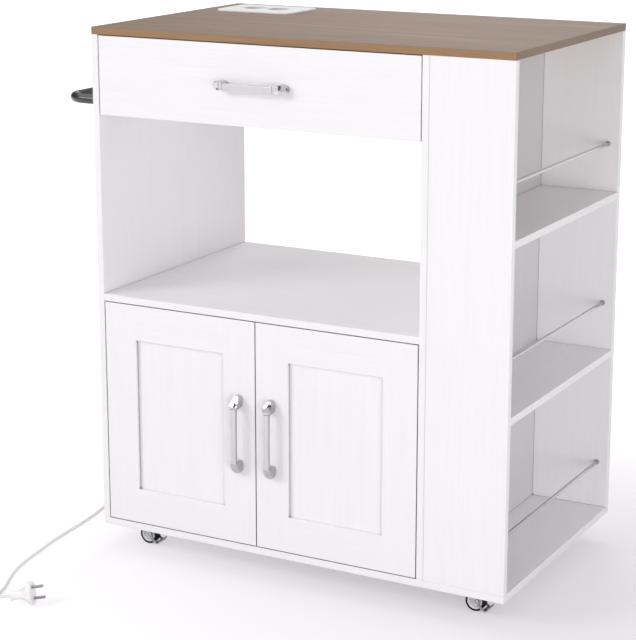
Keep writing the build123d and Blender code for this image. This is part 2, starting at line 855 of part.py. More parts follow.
def caster_fork(braked):
    """The pressed fork with the wheel's axle and, on a braked caster, the two studs of the brake pedal."""
    crown_top = caster_height - caster_plate_thickness - race_height - swivel_gap
    crown_low = crown_top - crown_thickness
    crown = block((-crown_radius, crown_radius), (-fork_outside, fork_outside), (crown_low, crown_top))
    crown = fillet(crown.edges().filter_by(Axis.Z), crown_corner)
    bore = round_bar((0, 0, crown_low - 1), (0, 0, crown_top + 1), rivet_radius + rivet_running_gap)
    shoulder = Pos(0, crown_low + crown_thickness / 2) * Rectangle(2 * (crown_radius - crown_corner), crown_thickness)
    wheel_middle = Pos(-caster_trail, wheel_radius)
    boss = wheel_middle * Circle(axle_boss_radius)
    eye = wheel_middle * Pos(*pedal_pivot) * Circle(pedal_eye_radius)
    cheek = make_hull(shoulder.edges() + boss.edges() + eye.edges())
    fork = crown - bore
    for side in (-1, 1):
        plane = Plane.XZ.offset(side * fork_inside)
        fork = fork + extrude(plane * cheek, side * fork_metal)
    axle_end = fork_outside + axle_head_thickness
    axle = beside_wheel((0, 0), -fork_outside, fork_outside, axle_radius)
    studs = []
    for side in (-1, 1):
        axle = axle + beside_wheel((0, 0), side * fork_outside, side * axle_end, axle_head_radius)
        if braked:
            studs.append(pedal_stud(side))
    return [fork - axle - studs, axle, *studs]


def pedal_stud(side):
    """A stud through one cheek of the fork, with its head outside the pedal's arm."""
    head = fork_outside + 2 * pedal_arm_gap + pedal_arm_thickness
    shank = beside_wheel(pedal_pivot, side * fork_inside, side * head, pedal_stud_radius)
    cap_end = head + pedal_stud_head_thickness
    return shank + beside_wheel(pedal_pivot, side * head, side * cap_end, pedal_stud_head_radius)


def caster_wheel():
    """The wheel's hub and its tyre."""
    rim = wheel_radius - tyre_depth
    half = wheel_width / 2
    side = half - hub_inset
    bore = axle_radius + axle_running_gap
    profile = Polyline(
        (bore, -side),
        (hub_boss_radius, -side),
        (hub_boss_radius + 1, -hub_web / 2),
        (rim - hub_rim - 1, -hub_web / 2),
        (rim - hub_rim, -side),
        (rim, -side),
        (rim, side),
        (rim - hub_rim, side),
        (rim - hub_rim - 1, hub_web / 2),
        (hub_boss_radius + 1, hub_web / 2),
        (hub_boss_radius, side),
        (bore, side),
        close=True,
    )
    turn = Plane(origin=(-caster_trail, 0, wheel_radius), x_dir=(1, 0, 0), z_dir=(0, 1, 0))
    hub = revolve(Plane.XZ * make_face(profile), Axis.Z)
    tyre = Cylinder(wheel_radius, wheel_width)
    tyre = fillet(tyre.edges().filter_by(GeomType.CIRCLE), tyre_round) - Cylinder(rim, wheel_width + 1)
    return turn * hub, turn * tyre


def brake_pedal():
    """The brake pedal: a bent strip that nears the tread when it is pressed, with an arm on each side."""
    low = fork_outside + pedal_arm_gap
    high = low + pedal_arm_thickness
    strip = trace(FilletPolyline(*pedal_strip_path, radius=list(pedal_strip_bends)), pedal_metal)
    arm = trace(FilletPolyline(*pedal_arm_path, radius=pedal_arm_bend), pedal_arm_width)
    arm = arm + Pos(*pedal_pivot) * Circle(pedal_eye_radius) + Pos(*pedal_arm_path[-1]) * Circle(pedal_arm_width / 2)
    arm = arm - Pos(*pedal_pivot) * Circle(pedal_stud_radius + axle_running_gap)
    pedal = extrude(Plane.XZ * strip, high, both=True)
    for side in (-1, 1):
        pedal = pedal + extrude(Plane.XZ.offset(side * low) * arm, side * pedal_arm_thickness)
    return Pos(-caster_trail, 0, wheel_radius) * pedal


def caster_places():
    """Swivel axes by name."""
    return {
        "front_left": (caster_inset_left, caster_inset_y),
        "front_right": (width - caster_inset_right, caster_inset_y),
        "rear_left": (caster_inset_left, depth - caster_inset_y),
        "rear_right": (width - caster_inset_right, depth - caster_inset_y),
    }


def caster_screws():
    """Seats and directions of the screws that hold the casters to the bottom panel."""
    seat = caster_height - caster_plate_thickness
    half = caster_hole_spacing / 2
    corners = ((-half, -half), (-half, half), (half, -half), (half, half))
    return [((x + dx, y + dy, seat), (0, 0, 1)) for x, y in caster_places().values() for dx, dy in corners]


def save_carcass():
    """Write everything fixed to the carcass."""
    for name, piece in carcass_boards().items():
        save(name, piece)
    save("worktop", worktop())
    save("rack_rods", *rack_rods())
    shelf, pins = adjustable_shelf()
    save("adjustable_shelf", shelf)
    save("shelf_pins", *pins)
    save("towel_bar", *towel_bar())
    plate, housing, sockets = socket_unit()
    save("socket_plate", plate)
    save("socket_housing", housing)
    save("socket_wells", *sockets)
    runner = cabinet_runner()
    save("cabinet_runners", runner, mirrored(runner))
    save("magnetic_catch", catch()[0])
    arms = hinge_arms()
    save("hinge_arms", *arms, *[mirrored(arm) for arm in arms])
    hinge_screws = [screw(*place) for place in hinge_plate_screws()]
    screws = hinge_screws + [mirrored(piece) for piece in hinge_screws] + [screw(*place) for place in caster_screws()]
    save("carcass_screws", *screws)


def save_cord():
    """Write the cord and what is on it."""
    body, pins = plug()
    save("power_cord", power_cord())
    save("strain_relief", strain_relief())
    save("plug_body", body)
    save("plug_pins", *pins)


def save_doors():
    """Write both doors; the right one is the left one mirrored."""
    frame, panel = door_boards()
    x = door_left + door_width - rail_width / 2
    handle = Pos(x, 0, handle_middle) * Rot(0, 90, 0) * bow_handle()
    pieces = {
        "frame": frame,
        "panel": [panel],
        "hinge_cups": hinge_cups(),
        "handle": [handle],
        "strike": [catch()[1]],
    }
    for name, solids in pieces.items():
        save(f"left_door_{name}", *solids)
        save(f"right_door_{name}", *[mirrored(solid) for solid in solids])


def save_drawer():
    """Write the drawer, its runners and the four rollers."""
    front, sides, bottom = drawer_boards()
    save("drawer_front", front)
    save("drawer_sides", *sides)
    save("drawer_bottom", bottom)
    middle = (drawer_front_bottom + drawer_front_top) / 2
    save("drawer_handle", Pos(opening_middle, 0, middle) * bow_handle())
    runner = drawer_runner()
    save("drawer_runners", runner, mirrored(runner))
    front_x = drawer_left - runner_metal - roller_side_gap - roller_width
    front_y = front_thickness + runner_setback + front_roller_distance
    rear_x = board + runner_metal + roller_side_gap
    rear_y = drawer_back - rear_roller_distance
    for name, x, y in (("front", front_x, front_y), ("rear", rear_x, rear_y)):
        left = roller(x, y)
        save(f"{name}_roller_left", left)
        save(f"{name}_roller_right", mirrored(left))


def save_casters():
    """Write the four casters; the front two have brakes."""
    places = caster_places()
    save("caster_plates", *[Pos(x, y, 0) * caster_plate() for x, y in places.values()])
    hub, tyre = caster_wheel()
    for name, (x, y) in places.items():
        place = Pos(x, y, 0)
        braked = name.startswith("front")
        save(f"caster_fork_{name}", *[place * piece for piece in caster_fork(braked)])
        save(f"wheel_hub_{name}", place * hub)
        save(f"wheel_tyre_{name}", place * tyre)
        if braked:
            save(f"brake_pedal_{name}", place * brake_pedal())


os.makedirs("parts", exist_ok=True)
save_carcass()
save_cord()
save_doors()
save_drawer()
save_casters()
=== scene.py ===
import math

import bpy
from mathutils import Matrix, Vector


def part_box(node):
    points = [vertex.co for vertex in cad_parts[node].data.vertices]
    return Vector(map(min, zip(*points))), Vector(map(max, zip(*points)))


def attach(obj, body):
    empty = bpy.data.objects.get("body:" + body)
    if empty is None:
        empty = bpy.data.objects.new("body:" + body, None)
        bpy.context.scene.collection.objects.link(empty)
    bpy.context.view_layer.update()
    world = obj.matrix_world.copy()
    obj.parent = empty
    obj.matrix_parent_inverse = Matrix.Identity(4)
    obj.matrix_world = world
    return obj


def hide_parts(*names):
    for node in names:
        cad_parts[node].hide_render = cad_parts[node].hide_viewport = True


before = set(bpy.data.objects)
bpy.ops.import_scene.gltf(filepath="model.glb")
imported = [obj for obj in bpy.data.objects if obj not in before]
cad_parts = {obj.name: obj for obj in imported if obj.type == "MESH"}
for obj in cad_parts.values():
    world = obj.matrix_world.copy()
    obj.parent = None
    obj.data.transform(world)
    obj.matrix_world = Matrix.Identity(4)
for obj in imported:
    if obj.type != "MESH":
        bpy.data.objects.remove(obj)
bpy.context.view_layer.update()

# Everything is in metres in the model's frame: X to the right, Y to the back, Z up from the floor.
# Colours are linear red, green and blue.

# Camera: its place from the floor below the cabinet's front left edge, and its turn in degrees
CAMERA_FROM_EDGE = (1.81256, -2.5703, 1.22192)
CAMERA_DOWN = 13.548
CAMERA_LEFT = 28.476
CAMERA_LENS = 108.164
CAMERA_SENSOR = 36.0
CAMERA_SHIFT = -0.06
CAMERA_REACH = 60.0

# Cord: its route from the strain relief, down the cart's left side and along the floor to the plug
CORD_POINTS = [
    (-0.2690, 0.2100, 0.8560),
    (-0.2690, 0.2480, 0.8560),
    (-0.2730, 0.2630, 0.8450),
    (-0.2810, 0.2690, 0.8240),
    (-0.2940, 0.2705, 0.7880),
    (-0.3120, 0.2685, 0.7410),
    (-0.3310, 0.2660, 0.6890),
    (-0.3450, 0.2650, 0.6340),
    (-0.3540, 0.2655, 0.5750),
    (-0.3610, 0.2665, 0.5150),
    (-0.3665, 0.2680, 0.4520),
    (-0.3705, 0.2695, 0.3850),
    (-0.3740, 0.2700, 0.3160),
    (-0.3780, 0.2695, 0.2480),
    (-0.3830, 0.2675, 0.1820),
    (-0.3895, 0.2630, 0.1220),
    (-0.3985, 0.2545, 0.0700),
    (-0.4100, 0.2400, 0.0310),
    (-0.4225, 0.2180, 0.0080),
    (-0.4345, 0.1870, 0.0026),
    (-0.4445, 0.1410, 0.0026),
    (-0.4510, 0.0870, 0.0026),
    (-0.4530, 0.0340, 0.0026),
    (-0.4485, -0.0190, 0.0026),
    (-0.4385, -0.0700, 0.0026),
    (-0.4295, -0.1210, 0.0026),
    (-0.4250, -0.1700, 0.0026),
    (-0.4225, -0.2180, 0.0026),
    (-0.4180, -0.2650, 0.0026),
    (-0.4105, -0.3100, 0.0026),
    (-0.4045, -0.3530, 0.0026),
    (-0.3940, -0.3930, 0.0026),
    (-0.3795, -0.4280, 0.0026),
    (-0.3645, -0.4590, 0.0026),
    (-0.3565, -0.4845, 0.0032),
    (-0.3510, -0.4990, 0.0052),
    (-0.3433, -0.5053, 0.0078),
    (-0.3334, -0.5066, 0.0104),
    (-0.3250, -0.5030, 0.0120),
]
CORD_RADIUS = 0.0025

# Doors and handles: the width of a frame's stiles and the length of a handle's polished ends
DOOR_STILE_WIDTH = 0.060
HANDLE_END = 0.0215

# Floor: its half width, and the oval round the cart in which it glows less, so that the cart's shadow shows
# and a painted shadow lies round it. The oval is shorter from front to back, and the glow grows from its
# inner edge to its outer edge.
FLOOR_REACH = 14.0
PAINTED_SHADOW_GLOW = 0.425
PAINTED_SHADOW_MIDDLE = (0.45, 0.02)
PAINTED_SHADOW_SQUEEZE = 1.5
PAINTED_SHADOW_EDGES = (0.2, 2.4)

# Studio: the light of the dome, and a painted reflection that metal mirrors in its place: white with dark
# cards at the left and right, a dark ring above and a softbox overhead, which light nothing. The edges are
# how far a direction of length one goes sideways, for the cards, or up, for the ring and the softbox.
DOME_LIGHT = 0.555
CARD_EDGES = (0.42, 0.68)
RING_EDGES = (0.38, 0.48)
SOFTBOX_EDGES = (0.60, 0.68)
STUDIO_WHITE = (1.0, 1.0, 1.0)
PAINTED_CARD_COLOUR = (0.10, 0.10, 0.11)
PAINTED_SOFTBOX_COLOUR = (2.0, 2.0, 2.0)

# Lamps: where each one stands, what it points at, its width and height, and its power in watts
LAMPS = {
    "key": ((-2.9, -3.2, 2.6), (0.0, 0.0, 0.45), (1.9, 1.2), 71.5),
    "fill": ((2.65, -2.55, 0.64), (0.2, 0.0, 0.5), (2.0, 1.2), 39.0),
    "rear": ((-0.5, 2.1, 1.9), (0.1, 0.1, 0.5), (0.9, 0.6), 15.5),
    "top": ((-0.4, 0.2, 3.4), (0.0, 0.0, 0.8), (2.0, 1.6), 3.0),
    "rim": ((1.44, 2.74, 1.23), (0.39, 0.0, 0.5), (0.6, 0.3), 3.0),
}
LAMPS_IN_MIRRORS = ("key", "top")


def add_object(name, data):
    """A new object in the scene that shows that data."""
    made = bpy.data.objects.new(name, data)
    bpy.context.scene.collection.objects.link(made)
    return made


def add_camera():
    """The camera at the photograph's viewing angle."""
    data = bpy.data.cameras.new("camera")
    data.lens = CAMERA_LENS
    data.sensor_width = CAMERA_SENSOR
    data.shift_y = CAMERA_SHIFT
    data.clip_end = CAMERA_REACH
    camera = add_object("camera", data)
    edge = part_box("left_panel")[0]
    camera.location = Vector((edge.x, edge.y, 0.0)) + Vector(CAMERA_FROM_EDGE)
    camera.rotation_euler = (math.radians(90 - CAMERA_DOWN), 0.0, math.radians(CAMERA_LEFT))
    bpy.context.scene.camera = camera


def cord_curve(name, points, radius):
    """A round cord as a smooth spline that has the route's points as its control points."""
    curve = bpy.data.curves.new(name, "CURVE")
    curve.dimensions = "3D"
    spline = curve.splines.new("NURBS")
    spline.points.add(len(points) - 1)
    for control, point in zip(spline.points, points):
        control.co = (*point, 1.0)
    spline.order_u = 3
    spline.use_endpoint_u = True
    spline.resolution_u = 6
    curve.bevel_depth = radius
    curve.bevel_resolution = 4
    curve.use_fill_caps = True
    return add_object(name, curve)


class Nodes:
    """A small builder for one node tree."""

    # The sockets of a Mix node: its first value, its second value and its result
    mix_sockets = {"FLOAT": (2, 3, 0), "VECTOR": (4, 5, 1), "RGBA": (6, 7, 2)}

    def __init__(self, tree):
        self.tree = tree
        self.tree.nodes.clear()

    def node(self, kind, sockets=None, **settings):
        """A new node with its settings, and with what its sockets take, by their names or numbers."""
        made = self.tree.nodes.new(kind)
        for setting, value in settings.items():
            setattr(made, setting, value)
        for socket, value in (sockets or {}).items():
            self.feed(made.inputs[socket], value)
        return made

    def feed(self, socket, value):
        """Put a number, a vector, a colour or another node's output into a socket."""
        if isinstance(value, bpy.types.NodeSocket):
            self.tree.links.new(value, socket)
        elif socket.type == "RGBA":
            socket.default_value = (*value, 1.0)
        else:
            socket.default_value = value

    def math(self, operation, first, second=0.0, clamp=False):
        sockets = {0: first, 1: second}
        return self.node("ShaderNodeMath", sockets, operation=operation, use_clamp=clamp).outputs[0]

    def plus(self, first, second, clamp=False):
        return self.math("ADD", first, second, clamp)

    def minus(self, first, second):
        return self.math("SUBTRACT", first, second)

    def times(self, first, second):
        return self.math("MULTIPLY", first, second)

    def larger(self, first, second):
        return self.math("MAXIMUM", first, second)

    def absolute(self, value):
        return self.math("ABSOLUTE", value)

    def split(self, vector):
        """The X, Y and Z of a vector."""
        return self.node("ShaderNodeSeparateXYZ", {0: vector}).outputs

    def span(self, value, low, high, to_low=0.0, to_high=1.0, smooth=False):
        """A value moved from one range into another, clamped."""
        sockets = {"Value": value, "From Min": low, "From Max": high, "To Min": to_low, "To Max": to_high}
        curve = "SMOOTHSTEP" if smooth else "LINEAR"
        return self.node("ShaderNodeMapRange", sockets, interpolation_type=curve).outputs[0]

    def mix(self, factor, first, second, kind="RGBA"):
        """The first value where the factor is zero, and the second where it is one."""
        first_socket, second_socket, result = self.mix_sockets[kind]
        sockets = {0: factor, first_socket: first, second_socket: second}
        return self.node("ShaderNodeMix", sockets, data_type=kind).outputs[result]

    def tint(self, colour, other, where, strength):
        """A colour that turns into another one by that strength where the value is one."""
        return self.mix(self.times(where, strength), colour, other)

    def background(self, colour, strength):
        return self.node("ShaderNodeBackground", {"Color": colour, "Strength": strength}).outputs[0]

    def mix_shader(self, factor, first, second):
        return self.node("ShaderNodeMixShader", {0: factor, 1: first, 2: second}).outputs[0]


class Look(Nodes):
    """One procedural material, whose textures follow the object's own coordinates."""

    # Most of a noise lies between these values
    noise_range = (0.3, 0.7)

    def __init__(self, name):
        self.material = bpy.data.materials.new(name)
        self.material.use_nodes = True
        super().__init__(self.material.node_tree)
        self.shader = self.node("ShaderNodeBsdfPrincipled")
        self.node("ShaderNodeOutputMaterial", {"Surface": self.shader.outputs["BSDF"]})
        places = self.node("ShaderNodeTexCoord").outputs
        self.coords = places["Object"]
        self.facing = places["Normal"]

    def stretch(self, scale, source=None, shift=(0.0, 0.0, 0.0)):
        """Coordinates that are scaled for each axis and then moved."""
        sockets = {"Vector": source or self.coords, "Scale": scale, "Location": shift}
        return self.node("ShaderNodeMapping", sockets).outputs[0]

    def grain(self, axis, along, across, detail=3.0, roughness=0.55, distortion=0.0, **place):
        """Noise with few features a metre along one axis and many across it. place is as in stretch()."""
        scale = [along if direction == axis else across for direction in "xyz"]
        sockets = {
            "Vector": self.stretch(scale, **place),
            "Scale": 1.0,
            "Detail": detail,
            "Roughness": roughness,
            "Distortion": distortion,
        }
        return self.node("ShaderNodeTexNoise", sockets).outputs[0]

    def noise(self, features, **settings):
        """Noise with as many features a metre in every direction."""
        return self.grain("x", features, features, **settings)

    def roughness(self, noise, low, high):
        """A roughness that goes from low to high with the noise."""
        return self.span(noise, *self.noise_range, low, high)

    def painted_crevice_shade(self, reach, closed, clear):
        """A mask for painted shade: one in narrow gaps and inner corners, zero on open faces."""
        shade = self.node("ShaderNodeAmbientOcclusion", {"Distance": reach}, samples=8)
        return self.span(shade.outputs["AO"], closed, clear, 1.0, 0.0)

    def bump(self, height, distance, strength=1.0, under=None):
        """The normal of a bumped surface. under is another bump that this one lies on."""
        sockets = {"Height": height, "Distance": distance, "Strength": strength}
        if under:
            sockets["Normal"] = under
        return self.node("ShaderNodeBump", sockets).outputs[0]

    def finish(self, **sockets):
        """Feed the shader's sockets, and give the finished material."""
        for name, value in sockets.items():
            self.feed(self.shader.inputs[name.replace("_", " ")], value)
        return self.material


def white_board(name, axis, rail_middle=None, rail_half=0.0, joints=()):
    """White coated board with a fine embossed grain along one axis, and painted shade in gaps and inner
    corners.

    A door frame's rails lie within rail_half of rail_middle: their grain runs sideways, and the side
    walls of its recess get painted shade. A joint is an axis number and a place on that axis, where the
    bevelled edges of a butt joint show as a thin line.
    """
    look = Look(name)
    light, dark = (0.925, 0.905, 0.925), (0.888, 0.868, 0.888)
    gap_shade_grey, joint_grey = (0.20, 0.19, 0.20), (0.45, 0.44, 0.45)
    is_door = rail_middle is not None
    source = look.coords
    if is_door:
        x, y, z = look.split(look.coords)
        on_rail = look.math("LESS_THAN", look.absolute(look.minus(x, rail_middle)), rail_half)
        turned = look.node("ShaderNodeCombineXYZ", {0: z, 1: y, 2: x}).outputs[0]
        source = look.mix(on_rail, look.coords, turned, "VECTOR")
    sway = look.grain(axis, along=3, across=9, detail=1, source=source)
    broad = look.grain(axis, along=1.6, across=26, detail=2, source=source)
    pores = look.grain(axis, along=22, across=760, detail=4, roughness=0.7, distortion=0.2, source=source)
    streaks = look.grain(axis, along=5, across=230, detail=4, roughness=0.62, distortion=0.35, source=source)
    cut = look.span(pores, 0.52, 0.66)
    line = look.span(streaks, 0.42, 0.68)
    tone = look.plus(look.times(line, 0.55), look.times(broad, 0.45))
    tone = look.plus(tone, look.times(cut, 0.35), clamp=True)
    colour = look.mix(tone, light, dark)
    # Painted shade: darker grey in narrow gaps and inner corners, where little light reaches
    colour = look.tint(colour, gap_shade_grey, look.painted_crevice_shade(reach=0.006, closed=0.10, clear=0.62), 0.78)
    if is_door:
        # Painted shade on the walls of a door's recess and gaps that face left or right
        sideways = look.span(look.absolute(look.split(look.facing)[0]), 0.5, 0.8)
        recess_wall_shade = look.times(look.painted_crevice_shade(reach=0.006, closed=0.5, clear=0.95), sideways)
        colour = look.tint(colour, gap_shade_grey, recess_wall_shade, 0.9)
    for direction, place in joints:
        aside = look.absolute(look.minus(look.split(look.coords)[direction], place))
        joint = look.span(aside, 0.0004, 0.0011, to_low=0.42, to_high=0.0)
        colour = look.mix(joint, colour, joint_grey)
    height = look.minus(look.times(streaks, 0.6), look.times(cut, 0.5))
    return look.finish(
        Base_Color=colour,
        Roughness=look.plus(look.roughness(streaks, 0.40, 0.52), look.times(sway, 0.05)),
        Normal=look.bump(height, distance=0.00018, strength=0.6),
        Specular_IOR_Level=0.4,
    )


def door_board(side):
    """The white board of one door's frame."""
    low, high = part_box(f"{side}_door_frame")
    rail_half = (high.x - low.x) / 2 - DOOR_STILE_WIDTH
    return white_board(f"white_board_{side}_door", "z", (low.x + high.x) / 2, rail_half)


def wood_top():
    """Walnut laminate with long streaks, fine pores, and grey and amber patches.

    Its edge band is painted lighter than its face along the front and back, as light falling there, and
    painted darker at the two ends, as shade.
    """
    look = Look("walnut_laminate")
    face_light, face_dark, face_pore = (0.290, 0.177, 0.112), (0.158, 0.095, 0.060), (0.13, 0.081, 0.048)
    band_light, band_dark, band_pore = (0.385, 0.232, 0.129), (0.245, 0.142, 0.075), (0.17, 0.098, 0.05)
    end_light, end_dark = (0.238, 0.153, 0.092), (0.168, 0.107, 0.064)
    grey, amber = (0.22, 0.172, 0.144), (0.38, 0.215, 0.118)
    bend = look.grain("x", along=1.1, across=3.2, detail=2)
    wander = {0: bend, 1: (0.0, 0.05, 0.05), 2: look.coords}
    source = look.node("ShaderNodeVectorMath", wander, operation="MULTIPLY_ADD").outputs[0]
    bands = look.grain("x", along=1.4, across=17, detail=4, source=source)
    streaks = look.grain("x", along=3.2, across=95, detail=5, roughness=0.66, distortion=0.25, source=source)
    pores = look.grain("x", along=26, across=720, roughness=0.7, source=source)
    grey_noise = look.grain("x", along=2.1, across=30, detail=2, source=source, shift=(3.0, 1.0, 0.0))
    amber_noise = look.grain("x", along=1.7, across=22, source=source, shift=(7.0, 2.0, 0.0))
    cut = look.span(pores, 0.56, 0.68)
    tone = look.times(look.span(bands, 0.28, 0.74), 0.5)
    tone = look.plus(tone, look.times(look.span(streaks, 0.28, 0.74), 0.5))
    face = look.tint(look.mix(tone, face_light, face_dark), face_pore, cut, 0.35)
    face = look.tint(face, grey, look.span(grey_noise, 0.45, 0.75), 0.35)
    face = look.tint(face, amber, look.span(amber_noise, 0.56, 0.72), 0.5)
    band = look.tint(look.mix(tone, band_light, band_dark), band_pore, cut, 0.35)
    facing_x, _, facing_z = look.split(look.facing)
    # Painted shade: the band is darker at the ends, which face left or right
    end_shade = look.span(look.absolute(facing_x), 0.55, 0.85)
    band = look.mix(end_shade, band, look.mix(tone, end_light, end_dark))
    # Painted light: the top face is darker than the band, which is lit along the front and back
    on_top = look.span(facing_z, 0.55, 0.85)
    height = look.minus(look.times(streaks, 0.4), look.times(cut, 0.6))
    return look.finish(
        Base_Color=look.mix(on_top, band, face),
        Roughness=look.roughness(streaks, 0.46, 0.36),
        Normal=look.bump(height, distance=0.0002, strength=0.7),
        Specular_IOR_Level=0.35,
    )


def hardboard():
    """Thin white lacquered fibreboard with a faint fibre texture."""
    look = Look("white_fibreboard")
    light, dark = (0.93, 0.912, 0.93), (0.84, 0.824, 0.845)
    fibre = look.noise(260, detail=4, roughness=0.7)
    cloud = look.noise(6, detail=2)
    return look.finish(
        Base_Color=look.mix(look.plus(look.times(fibre, 0.6), look.times(cloud, 0.4)), light, dark),
        Roughness=look.roughness(fibre, 0.5, 0.66),
        Normal=look.bump(fibre, distance=0.0001, strength=0.6),
    )


def bow_handle(node, axis):
    """Satin grip between the polished ends of a handle that runs along one axis."""
    look = Look(f"{node}_nickel")
    satin_light, satin_dark = (0.61, 0.61, 0.62), (0.51, 0.51, 0.52)
    polished_light, polished_dark = (0.56, 0.56, 0.57), (0.48, 0.48, 0.49)
    direction = "xyz".index(axis)
    low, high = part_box(node)
    middle = (high[direction] + low[direction]) / 2
    half_grip = (high[direction] - low[direction]) / 2 - HANDLE_END
    aside = look.absolute(look.minus(look.split(look.coords)[direction], middle))
    end = look.span(aside, half_grip - 0.0006, half_grip + 0.0006)
    brush = look.grain(axis, along=20, across=900, roughness=0.6)
    smudge = look.noise(45)
    satin = look.mix(brush, satin_light, satin_dark)
    polished = look.mix(smudge, polished_light, polished_dark)
    satin_rough = look.roughness(brush, 0.30, 0.42)
    polished_rough = look.roughness(smudge, 0.06, 0.12)
    waves = look.bump(look.times(look.noise(60, detail=0), end), distance=0.005)
    brushing = look.times(brush, look.minus(1.0, end))
    return look.finish(
        Base_Color=look.mix(end, satin, polished),
        Metallic=1.0,
        Roughness=look.mix(end, satin_rough, polished_rough, "FLOAT"),
        Normal=look.bump(brushing, distance=0.00002, strength=0.4, under=waves),
    )


def metal(name, light, dark, roughness, axis, along=20, across=900, brushing=0.5):
    """Metal with fine brushing along one axis and faint smudges."""
    look = Look(name)
    brush = look.grain(axis, along, across, roughness=0.6)
    smudge = look.noise(35)
    smudge_rough = look.roughness(smudge, roughness - 0.07, roughness)
    return look.finish(
        Base_Color=look.mix(look.plus(look.times(brush, 0.6), look.times(smudge, 0.4)), light, dark),
        Metallic=1.0,
        Roughness=look.plus(look.times(brush, 0.10), smudge_rough),
        Normal=look.bump(brush, distance=0.00002, strength=brushing),
    )


def plastic(name, light, dark, roughness, features=1400, depth=0.00002, corner_shade=0.0):
    """Moulded plastic with a fine texture, slight unevenness in tone and sheen, and painted shade in its
    corners.
    """
    look = Look(name)
    corner_shade_grey = (0.05, 0.05, 0.05)
    texture = look.noise(features, detail=2)
    cloud = look.noise(28)
    colour = look.mix(look.plus(look.times(texture, 0.35), look.times(cloud, 0.65)), light, dark)
    # Painted shade in corners and gaps, such as round a wheel hub's rim
    if corner_shade:
        colour = look.tint(colour, corner_shade_grey, look.painted_crevice_shade(reach=0.003, closed=0.25, clear=0.75), corner_shade)
    return look.finish(
        Base_Color=colour,
        Roughness=look.roughness(cloud, roughness - 0.05, roughness + 0.05),
        Normal=look.bump(texture, distance=depth, strength=0.7),
    )


def socket_well_plastic():
    """Pale grey-green plastic with painted shade round the foot of each well."""
    look = Look("grey_socket_plastic")
    light, dark, shade = (0.80, 0.82, 0.80), (0.73, 0.76, 0.74), (0.30, 0.35, 0.33)
    texture = look.noise(1400, detail=2)
    cloud = look.noise(60)
    # Painted shade round the foot of each well
    foot = look.painted_crevice_shade(reach=0.012, closed=0.35, clear=0.95)
    return look.finish(
        Base_Color=look.tint(look.mix(cloud, light, dark), shade, foot, 0.75),
        Roughness=look.roughness(cloud, 0.36, 0.46),
        Normal=look.bump(texture, distance=0.00002, strength=0.7),
    )


def black_rubber():
    """Tyre rubber with a gritty surface and small scuffs."""
    look = Look("tyre_rubber")
    black, scuffed = (0.006, 0.006, 0.007), (0.02, 0.02, 0.02)
    grit = look.noise(1500)
    scuff = look.span(look.noise(120, detail=4, roughness=0.7), 0.5, 0.75)
    return look.finish(
        Base_Color=look.tint(black, scuffed, scuff, 0.6),
        Roughness=look.roughness(grit, 0.74, 0.90),
        Normal=look.bump(grit, distance=0.00004, strength=0.8),
    )


def painted_black():
    """Satin black powder coat with a fine orange-peel surface."""
    look = Look("black_powder_coat")
    black, worn = (0.018, 0.018, 0.02), (0.035, 0.035, 0.038)
    peel = look.noise(620, detail=2)
    wear = look.span(look.noise(60, detail=4), 0.45, 0.8)
    return look.finish(
        Base_Color=look.mix(wear, black, worn),
        Roughness=look.roughness(peel, 0.28, 0.38),
        Normal=look.bump(peel, distance=0.00005, strength=0.8),
        Coat_Weight=0.3,
        Coat_Roughness=0.2,
    )


def dress(material, *nodes):
    """Give CAD nodes one material."""
    for node in nodes:
        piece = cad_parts[node]
        for slot in piece.material_slots:
            slot.material = material
        if not piece.material_slots:
            piece.data.materials.append(material)


def floor_material():
    """A floor that looks white to the camera and in mirrors, keeps the cart's soft shadow, and glows less in
    an oval round the cart, which is a painted shadow.
    """
    look = Look("studio_floor")
    glow_colour = (1.0, 0.975, 1.0)
    cloud = look.noise(2, detail=2)
    lit = look.mix(cloud, (0.80, 0.80, 0.80), (0.78, 0.78, 0.78))
    shown = look.mix(cloud, (0.525, 0.510, 0.525), (0.515, 0.500, 0.515))
    path = look.node("ShaderNodeLightPath").outputs
    seen = look.larger(path["Is Camera Ray"], path["Is Glossy Ray"])
    seen = look.larger(seen, path["Is Transmission Ray"])
    # Painted shadow: the glow is least in an oval beside the cart, and the camera sees a darker base colour
    shift = (-PAINTED_SHADOW_MIDDLE[0], -PAINTED_SHADOW_MIDDLE[1] * PAINTED_SHADOW_SQUEEZE, 0.0)
    oval = look.stretch((1.0, PAINTED_SHADOW_SQUEEZE, 0.0), shift=shift)
    away = look.node("ShaderNodeVectorMath", {0: oval}, operation="LENGTH").outputs["Value"]
    glow = look.span(away, *PAINTED_SHADOW_EDGES, PAINTED_SHADOW_GLOW, 1.0, smooth=True)
    return look.finish(
        Base_Color=look.mix(seen, lit, shown),
        Roughness=0.9,
        Specular_IOR_Level=0.0,
        Emission_Color=glow_colour,
        Emission_Strength=look.times(seen, glow),
    )


def stage_floor():
    """The plain square floor below the cart."""
    corners = [(-1, -1), (1, -1), (1, 1), (-1, 1)]
    mesh = bpy.data.meshes.new("studio_floor")
    mesh.from_pydata([(x * FLOOR_REACH, y * FLOOR_REACH, 0) for x, y in corners], [], [(0, 1, 2, 3)])
    mesh.materials.append(floor_material())
    piece = add_object("studio_floor", mesh)


